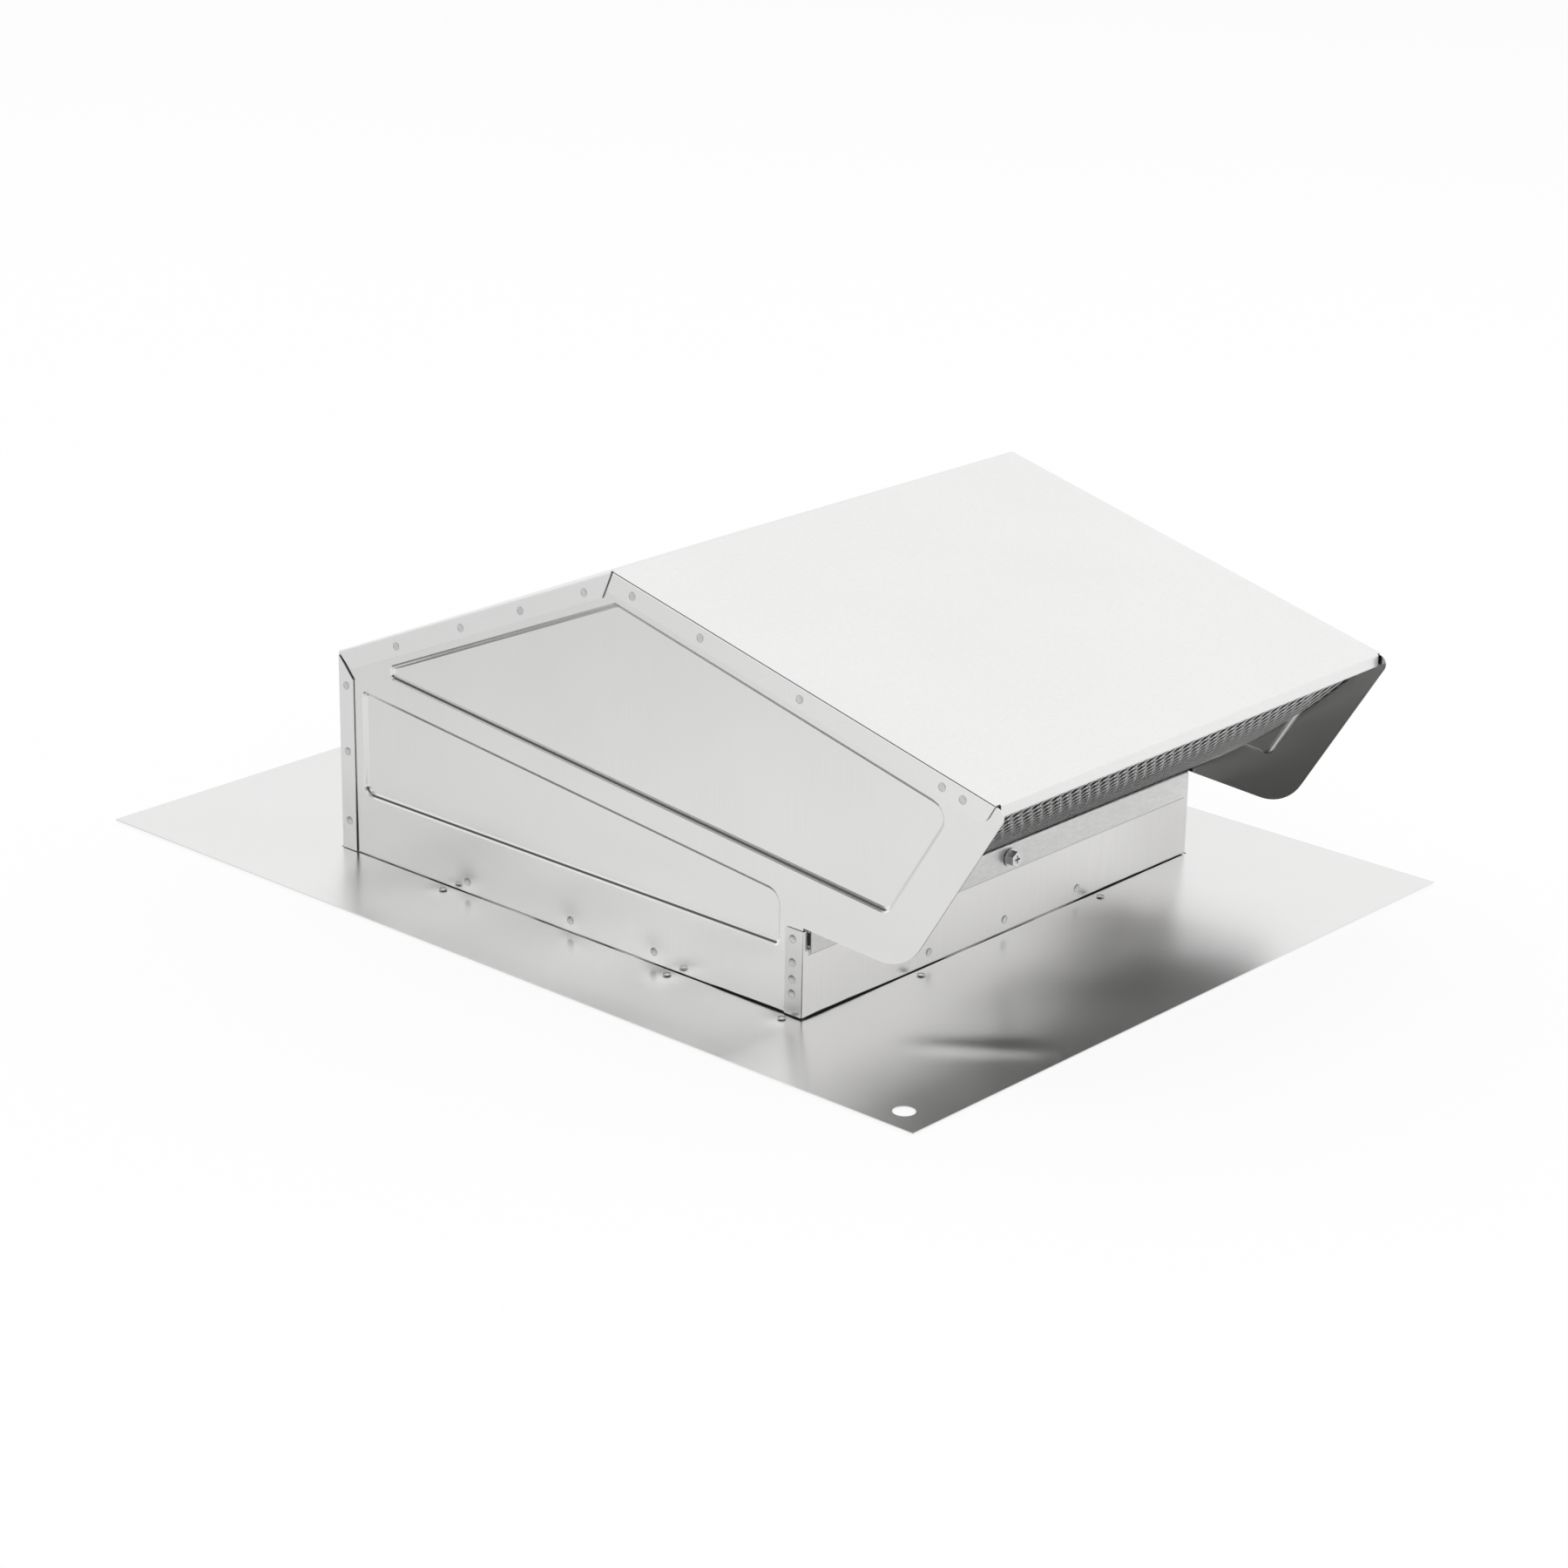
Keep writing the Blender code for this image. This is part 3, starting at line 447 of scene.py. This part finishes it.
def bareMetal(name, look):
    # sheet as it comes from the mill: rolling grain one way, soft clouds and a few shallow dents; some
    # sheets also get painted shade and painted light in their colour
    material = bpy.data.materials.new("bare_" + name)
    material.use_nodes = True
    material.node_tree.nodes.clear()
    g = Graph(material.node_tree)
    place = g.node("ShaderNodeTexCoord", output="Object")
    alongGrain = g.node("ShaderNodeMapping", None, {"Vector": place, "Scale": look["grain"]})
    grain = g.node("ShaderNodeTexNoise", None, {"Vector": alongGrain, "Scale": 1.0, "Detail": 1.0})
    cloud = g.node("ShaderNodeTexNoise", None, {"Vector": place, "Scale": look["cloud"], "Detail": 5.0})
    toneAndPaintedLight = look["shade"] + look["grainDepth"] * (grain - 0.5) + look["cloudDepth"] * (cloud - 0.5)
    # painted shadow in the joint between the box's foot and the plate
    if name in ("hood_sheet", "side_panel", "front_wall"):
        toneAndPaintedLight = toneAndPaintedLight * seamPaintedShadowFactor(g, place)
    # painted light low on the side panels towards the front
    if name == "side_panel":
        toneAndPaintedLight = toneAndPaintedLight * sidePaintedLightFactor(g, place)
    # painted shade at the front wall's right end and a painted shadow under the retainer
    if name == "front_wall":
        toneAndPaintedLight = toneAndPaintedLight * wallPaintedShadeFactor(g, place)
    # painted shade on the inner faces
    if name in innerPaintedShade:
        toneAndPaintedLight = toneAndPaintedLight * insidePaintedShadeFactor(g, name, place)
    base = g.scaled(look["tint"], toneAndPaintedLight)
    rough = look["rough"] + look["roughSpread"] * (0.5 * grain + 0.5 * cloud - 0.5)
    moved = g.vector("ADD", place, dents["start"])
    noise = {"Vector": moved, "Scale": dents["scale"], "Detail": 1.0}
    height = look["dent"] * g.node("ShaderNodeTexNoise", None, noise)
    if pinchPlaces(name):
        height = height - pinch["depth"] * pinches(g, name, place)
    if name == "base_plate":
        x, y, z = g.split(place)
        ahead = g.sum("MAXIMUM", site["wallFace"] - y, 0.0)
        height = height - plateCurl["twist"] * x * ahead * ahead / (ahead + plateCurl["onset"])
        height = height - creaseDepth(g, x, y)
    normal = g.node("ShaderNodeBump", None, {"Strength": 1.0, "Distance": 1.0, "Height": height})
    looks = {"Base Color": base, "Metallic": 1.0, "Roughness": rough, "Normal": normal}
    shader = g.node("ShaderNodeBsdfPrincipled", None, looks)
    g.node("ShaderNodeOutputMaterial", None, {"Surface": shader})
    return material


metals = {name: bareMetal(name, look) for name, look in sheetLooks.items()}
slotOf = {entry["node"]: entry["material_slot"] for entry in frame["record"]["subparts"]}
for name, piece in nodes.items():
    for slot in piece.material_slots:
        slot.material = metals[slotOf[name]]
print("sheets finished")


# clinch buttons, set on the buttons of the solids, as small dished eyelets

buttons = {
    "radius": 0.0018,
    "rim": 0.00012,
    "dish": 0.0008,
    "depth": 0.00020,
    "sink": 0.00016,
    "sides": 20,
    "rimSides": 8,
    "rise": 0.0004,  # how far the plate's own buttons stand up
    # between which of the hood's corners they sit, and at which shares of the way
    "hoodSeams": (
        ("foot", "eave", (0.152, 0.506, 0.839)),
        ("eave", "ridge", (0.214, 0.455, 0.671, 0.893)),
        ("ridge", "crease", (0.063, 0.249, 0.513, 0.874, 0.925)),
    ),
    "seamInset": 0.00539,
    "tabInset": 0.00568,
    "tabShares": (0.26, 0.42, 0.61, 0.87),
    "wallShares": (0.307, 0.5, 0.693),
    "wallDotRise": 0.0061,
    "plateOut": 0.0052,
    "plateEndShares": (0.266, 0.734),
}


def onBothSides(x, y, z, facing=None):
    # a button's place and the way it faces, on the left and on the right
    return [((side * x, y, z), facing or (side, 0, 0)) for side in (-1, 1)]


def hoodPlaces():
    # along the hood's side flanges, a little in from each folded edge
    places = []
    for first, last, shares in buttons["hoodSeams"]:
        start, end = (Vector(site[name]) for name in (first, last))
        run = (end - start).normalized()
        inwards = Vector((-run.y, run.x))
        for share in shares:
            spot = start.lerp(end, share) + inwards * buttons["seamInset"]
            places += onBothSides(site["halfBox"], back(spot.x), up(spot.y))
    return places


def wallPlaces():
    # up the front wall's corner tabs and in a row across its face
    places = []
    for share in buttons["tabShares"]:
        places += onBothSides(site["halfBox"], back(buttons["tabInset"]), up(site["wallRise"] * share))
    for share in buttons["wallShares"]:
        x = 2 * site["halfBox"] * (share - 0.5)
        places.append(((x, back(0), up(buttons["wallDotRise"])), (0, -1, 0)))
    return places


def panelPlaces():
    # low along both side panels
    places = []
    for share in site["sideDotShares"]:
        places += onBothSides(site["panelX"], back(site["boxDepth"] * share), up(site["sideDotRise"]))
    return places


def platePlaces():
    # on the plate beside the box, and before and behind it
    z, out, above = up(buttons["rise"]), buttons["plateOut"], (0, 0, 1)
    places = []
    for share in site["baseDotShares"]:
        places += onBothSides(site["panelX"] + out, back(site["boxDepth"] * share), z, above)
    for share in buttons["plateEndShares"]:
        x = 2 * site["halfBox"] * (share - 0.5)
        places += [((x, back(distance), z), above) for distance in (-out, site["boxDepth"] + out)]
    return places


def makeButtonTree(material):
    # one dished eyelet with a round rim, at each of the points
    sizes, counts = ("Radius", "Rim", "Dish", "Depth", "Sink"), ("Sides", "Rim Sides")
    g, given = openTree("clinchButtons", sizes, counts)
    radius, rimRadius, dish, depth, sink = (given[name] for name in sizes)
    sides, rimSides = (given[name] for name in counts)

    def lifted(shape, rise):
        way = g.node("ShaderNodeCombineXYZ", None, {"Z": rise})
        return g.node("GeometryNodeTransform", None, {"Geometry": shape, "Translation": way})

    ring = {"Curve": g.circle(radius, sides), "Profile Curve": g.circle(rimRadius, rimSides)}
    rim = lifted(g.node("GeometryNodeCurveToMesh", None, ring), depth)
    cone = {"Vertices": sides, "Radius Top": radius, "Radius Bottom": dish, "Depth": depth}
    walls = g.node("GeometryNodeMeshCone", {"fill_type": "NONE"}, cone)
    walls = g.node("GeometryNodeFlipFaces", None, {"Mesh": walls})
    disc = {"Vertices": sides, "Radius": dish}
    pan = g.node("GeometryNodeMeshCircle", {"fill_type": "NGON"}, disc)
    eyelet = lifted(g.joined((rim, walls, pan)), -1 * sink)
    vector = {"data_type": "FLOAT_VECTOR"}
    facing = g.node("GeometryNodeInputNamedAttribute", vector, {"Name": "facing"})
    turn = g.node("FunctionNodeAlignRotationToVector", {"axis": "Z"}, {"Vector": facing})
    return closeTree(g, g.copies(eyelet, given["Geometry"], turn), material)


buttonTree = makeButtonTree(metals["clinch_button"])
buttonSets = {
    "hood_buttons": ("hood_sheet", hoodPlaces()),
    "wall_buttons": ("front_wall", wallPlaces()),
    "panel_buttons": ("side_panel", panelPlaces()),
    "plate_buttons": ("base_plate", platePlaces()),
}
for name, (slotName, places) in buttonSets.items():
    points = bpy.data.meshes.new(name)
    points.from_pydata([place for place, facing in places], [], [])
    facings = points.attributes.new("facing", "FLOAT_VECTOR", "POINT")
    for k, (place, facing) in enumerate(places):
        facings.data[k].vector = facing
    base = bpy.data.objects.new(name, points)
    bpy.context.scene.collection.objects.link(base)
    piece = grow(base, buttonTree, buttons, name)
    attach(piece, "root")
    print(name, "set:", len(places))


# the bird screen as wire cloth, welded where the wires cross

cloth = {
    "pitch": 0.00635,
    "wire": 0.00078,
    "halfWidth": 0.1298,
    "sides": 6,
    "stepsPerPitch": 4,
    "nest": 0.45,  # how far each family of wires lies from the cloth's middle, as a share of a wire
    # places on its run, as distance behind the front wall and rise above the plate
    "tailFoot": (-0.00065, 0.0322),
    "ledge": (0.0025, 0.04095),
    "knee": (0.0030, 0.0429),
    "foot": (-0.0008, 0.0436),
    "head": (-0.09476, 0.11862),
    # the bend behind the retainer, the fold over the wall and the belly up to the lip
    "bendRadius": 0.00155,
    "bendSteps": 6,
    "foldReach": 0.0012,
    "foldSteps": 10,
    "sag": 0.0050,
    "arcSteps": 48,
}


def clothBend(tailFoot, ledge):
    # a quarter turn, from upright behind the retainer to level on the ledge
    radius, steps = cloth["bendRadius"], cloth["bendSteps"]
    pivot = Vector((tailFoot.x + radius, ledge.y - radius))
    angles = [k * math.pi / 2 / steps for k in range(steps + 1)]
    return [pivot + Vector((-math.cos(angle), math.sin(angle))) * radius for angle in angles]


def clothFold(*handles):
    # points along one cubic curve, without its end
    points = []
    for k in range(cloth["foldSteps"]):
        t = k / cloth["foldSteps"]
        weights = ((1 - t) ** 3, 3 * t * (1 - t) ** 2, 3 * t * t * (1 - t), t ** 3)
        points.append(sum((h * w for h, w in zip(handles, weights)), Vector((0, 0))))
    return points


def clothBelly(foot, head):
    # an arc that bulges by the sag
    chord = head - foot
    along = chord.normalized()
    out = Vector((-along.y, along.x))
    radius = chord.length ** 2 / (8 * cloth["sag"]) + cloth["sag"] / 2
    half = math.asin(chord.length / 2 / radius)
    centre = (foot + head) / 2 - out * (radius - cloth["sag"])
    steps = cloth["arcSteps"]
    angles = [-half + 2 * half * k / steps for k in range(steps + 1)]
    return [centre + (out * math.cos(angle) + along * math.sin(angle)) * radius for angle in angles]


def clothPath():
    # the cloth's run from behind the retainer, over the wall and up to the lip, as points in the frame
    names = ("tailFoot", "ledge", "knee", "foot", "head")
    tailFoot, ledge, knee, foot, head = (Vector(cloth[name]) for name in names)
    belly = clothBelly(foot, head)
    level = Vector((cloth["foldReach"], 0))
    rising = (belly[1] - belly[0]).normalized() * cloth["foldReach"]
    run = [tailFoot] + clothBend(tailFoot, ledge)
    run += clothFold(ledge, ledge + level, knee + level, knee)
    run += clothFold(knee, knee - level, foot - rising, foot)
    return [Vector((0, back(point.x), up(point.y))) for point in run + belly]


def makeClothTree(material):
    # round wires up the slope and from side to side, along the run that the tree is given
    sizes, counts = ("Pitch", "Wire", "Half Width"), ("Sides", "Steps Per Pitch")
    g, given = openTree("wireCloth", sizes, counts)
    pitch, wire, half = (given[name] for name in sizes)
    sides, stepsPerPitch = (given[name] for name in counts)
    columns = g.sum("FLOOR", 2 * half / pitch) + 1
    margin = half - pitch * (columns - 1) / 2  # from the cloth's cut edge to its first wire
    tangent = g.node("GeometryNodeInputTangent")
    outwards = g.vector("NORMALIZE", g.vector("CROSS_PRODUCT", tangent, (1.0, 0.0, 0.0)))
    vector = {"data_type": "FLOAT_VECTOR"}

    def runBy(length):
        # the run with its points at this distance, each of which keeps its way outwards
        values = {"Curve": given["Geometry"], "Length": length}
        run = g.node("GeometryNodeResampleCurve", {"mode": "LENGTH"}, values)
        values = {"Geometry": run, "Name": "outwards", "Value": outwards}
        return g.node("GeometryNodeStoreNamedAttribute", {**vector, "domain": "POINT"}, values)

    def across(x):
        return g.node("ShaderNodeCombineXYZ", None, {"X": x})

    def wires(curves, side):
        # the two families are welded one on the other, so each lies to its own side
        kept = g.node("GeometryNodeInputNamedAttribute", vector, {"Name": "outwards"})
        push = g.scaled(kept, side * (wire * cloth["nest"]))
        laid = g.node("GeometryNodeSetPosition", None, {"Geometry": curves, "Offset": push})
        profile = g.circle(wire * 0.5, sides)
        tube = {"Curve": laid, "Profile Curve": profile, "Fill Caps": True}
        return g.node("GeometryNodeCurveToMesh", None, tube)

    row = {"Count": columns, "Start Location": across(margin - half), "Offset": across(pitch)}
    row = g.node("GeometryNodeMeshLine", {"mode": "OFFSET"}, row)
    uprights = g.copies(runBy(pitch / stepsPerPitch), row)
    level = {"Start": across(half * -1), "End": across(half)}
    level = g.node("GeometryNodeCurvePrimitiveLine", None, level)
    crossings = g.copies(level, runBy(pitch))
    return closeTree(g, g.joined((wires(uprights, -1), wires(crossings, 1))), material)


runCurve = bpy.data.curves.new("clothRun", "CURVE")
runCurve.dimensions = "3D"
runPoints = clothPath()
spline = runCurve.splines.new("POLY")
spline.points.add(len(runPoints) - 1)
for point, place in zip(spline.points, runPoints):
    point.co = (*place, 1)
runObject = bpy.data.objects.new("clothRun", runCurve)
bpy.context.scene.collection.objects.link(runObject)
wireCloth = grow(runObject, makeClothTree(metals["bird_screen"]), cloth, "wire_cloth")
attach(wireCloth, "root")
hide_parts("bird_screen")
print("wire cloth laid:", len(wireCloth.data.polygons), "faces")


# floor, light and camera

studio = {
    "floorHalf": 12,
    "floorDrop": 0.0002,
    "floorGrey": 0.96,
    "floorGlow": 0.80,
    "glowStrength": 1.04,
    # what metal sees of the floor: the glow's share, its strength on the left and its loss behind
    "glossGlow": 0.6,
    "leftGlow": 0.93,
    "leftReach": (-0.1, 0.1),
    "backLoss": 0.23,
    "backReach": (-0.05, 0.35),
    # the share of it left in front of the plate, and where that starts and ends
    "frontGlow": 0.55,
    "frontReach": (0.26, 0.36),
    "frontSide": (0.12, 0.02),
    "throatHalf": (0.1345, 0.1440),  # no glow comes up through the throat
    "worldStrength": 0.62,
    # darker parts of the room, as metal sees them: direction, where they start and end, and depth
    "roomShades": (
        ((-0.75, 0.66, 0.0), (0.12, 0.55), 0.90),
        ((-0.70, -0.62, 0.35), (0.76, 0.92), 0.92),
        ((0.70, 0.62, 0.35), (0.955, 0.98), 0.07),
    ),
    "shadeAbove": (0.455, 0.505),  # the first of them ends above the pale backdrop
    "lamps": (
        # place, power and size
        ((-1.2, -1.4, 2.4), 17.0, 2.6),
        ((1.6, -0.6, 1.8), 6.0, 1.7),
        ((0.2, 2.0, 2.0), 8.0, 2.0),
    ),
}


def raysOf(g, *names):
    # true for rays of any of these kinds
    rays = g.tree.nodes.new("ShaderNodeLightPath")
    total = Signal(g, rays.outputs[names[0]])
    for name in names[1:]:
        total = g.sum("MAXIMUM", total, Signal(g, rays.outputs[name]))
    return total


def makeFloor():
    # a wide pale floor that glows, more weakly in metal than to the eye
    mesh = bmesh.new()
    bmesh.ops.create_grid(mesh, x_segments=1, y_segments=1, size=studio["floorHalf"])
    bmesh.ops.translate(mesh, verts=mesh.verts, vec=(0, 0, -studio["floorDrop"]))
    data = bpy.data.meshes.new("floor")
    mesh.to_mesh(data)
    mesh.free()
    floor = bpy.data.objects.new("floor", data)
    bpy.context.scene.collection.objects.link(floor)
    material = bpy.data.materials.new("pale_floor")
    material.use_nodes = True
    material.node_tree.nodes.clear()
    g = Graph(material.node_tree)
    grey = studio["floorGrey"]
    matt = g.node("ShaderNodeBsdfDiffuse", None, {"Color": (grey, grey, grey, 1)})
    x, y, z = g.split(g.node("ShaderNodeTexCoord", output="Object"))
    full = studio["glowStrength"]
    leftGlow = studio["leftGlow"] - studio["backLoss"] * g.smooth(y, *studio["backReach"])
    metalGlow = leftGlow + (full - leftGlow) * g.smooth(x, *studio["leftReach"])
    inFront = g.smooth(-1 * y, *studio["frontReach"]) * g.smooth(x, *studio["frontSide"])
    metalGlow = metalGlow * (1 - (1 - studio["frontGlow"]) * inFront)
    strength = full + (metalGlow - full) * raysOf(g, "Is Glossy Ray")
    glow = g.node("ShaderNodeEmission", None, {"Color": (1, 1, 1, 1), "Strength": strength})
    halfX, halfY = studio["throatHalf"]
    outside = g.sum("MAXIMUM", g.sum("ABSOLUTE", x) - halfX, g.sum("ABSOLUTE", y) - halfY)
    outside = g.sum("GREATER_THAN", outside, 0.0)
    seen = raysOf(g, "Is Camera Ray", "Is Transmission Ray") * studio["floorGlow"]
    share = g.sum("MAXIMUM", seen, raysOf(g, "Is Glossy Ray") * studio["glossGlow"]) * outside
    both = g.node("ShaderNodeMixShader", None, {0: share, 1: matt, 2: glow})
    g.node("ShaderNodeOutputMaterial", None, {"Surface": both})
    data.materials.append(material)


def makeWorld():
    # an even white room, with the darker parts that only metal sees
    world = bpy.data.worlds.new("studio")
    bpy.context.scene.world = world
    world.use_nodes = True
    world.node_tree.nodes.clear()
    g = Graph(world.node_tree)
    way = g.node("ShaderNodeTexCoord", output="Generated")
    height = g.split(way)[2]
    light = 1.0
    for k, (towards, (low, high), depth) in enumerate(studio["roomShades"]):
        share = g.smooth(g.vector("DOT_PRODUCT", way, towards, output="Value"), low, high)
        if k == 0:
            share = share * g.smooth(height, *studio["shadeAbove"])
        light = (1 - depth * share) * light
    metalOnly = raysOf(g, "Is Glossy Ray")
    light = 1 - metalOnly * (1 - light)
    seen = raysOf(g, "Is Camera Ray", "Is Glossy Ray", "Is Transmission Ray")
    strength = (studio["worldStrength"] + (1 - studio["worldStrength"]) * seen) * light
    sky = g.node("ShaderNodeBackground", None, {"Color": (1, 1, 1, 1), "Strength": strength})
    g.node("ShaderNodeOutputWorld", None, {"Surface": sky})


def makeLamps():
    # wide soft lamps that look at the origin and don't show in the metal
    for k, (place, power, size) in enumerate(studio["lamps"]):
        light = bpy.data.lights.new("softbox" + str(k + 1), "AREA")
        light.energy = power
        light.shape = "SQUARE"
        light.size = size
        lamp = bpy.data.objects.new(light.name, light)
        lamp.visible_glossy = False
        lamp.location = place
        lamp.rotation_euler = (-Vector(place)).to_track_quat("-Z", "Y").to_euler()
        bpy.context.scene.collection.objects.link(lamp)


camera = {
    "azimuth": -48.245,
    "elevation": 20.364,
    "roll": 0.957,
    "distance": 1.6957,
    "toRight": -0.0967,
    "upwards": 0.0651,
    "lens": 88.51,
    "sensorWidth": 36,
    "clip": (0.05, 60),
}


def makeCamera():
    # stands where the photograph was taken from, turned about the foot of the front wall's middle
    azimuth, elevation, roll = (math.radians(camera[name]) for name in ("azimuth", "elevation", "roll"))
    backwards = Vector((
        math.sin(azimuth) * math.cos(elevation),
        -math.cos(azimuth) * math.cos(elevation),
        math.sin(elevation),
    ))
    flatRight = Vector((math.cos(azimuth), math.sin(azimuth), 0))
    flatUp = backwards.cross(flatRight)
    right = flatRight * math.cos(roll) + flatUp * math.sin(roll)
    upwards = flatUp * math.cos(roll) - flatRight * math.sin(roll)
    data = bpy.data.cameras.new("photo_camera")
    data.sensor_width = camera["sensorWidth"]
    data.lens = camera["lens"]
    data.clip_start, data.clip_end = camera["clip"]
    view = bpy.data.objects.new("photo_camera", data)
    place = Vector((0, site["wallFace"], site["plateTop"]))
    place += right * camera["toRight"] + upwards * camera["upwards"] + backwards * camera["distance"]
    turn = Matrix((right, upwards, backwards)).transposed()
    view.matrix_world = Matrix.Translation(place) @ turn.to_4x4()
    bpy.context.scene.collection.objects.link(view)
    bpy.context.scene.camera = view


makeFloor()
makeWorld()
makeLamps()
makeCamera()
bpy.context.scene.view_settings.view_transform = "Standard"
print("studio set")
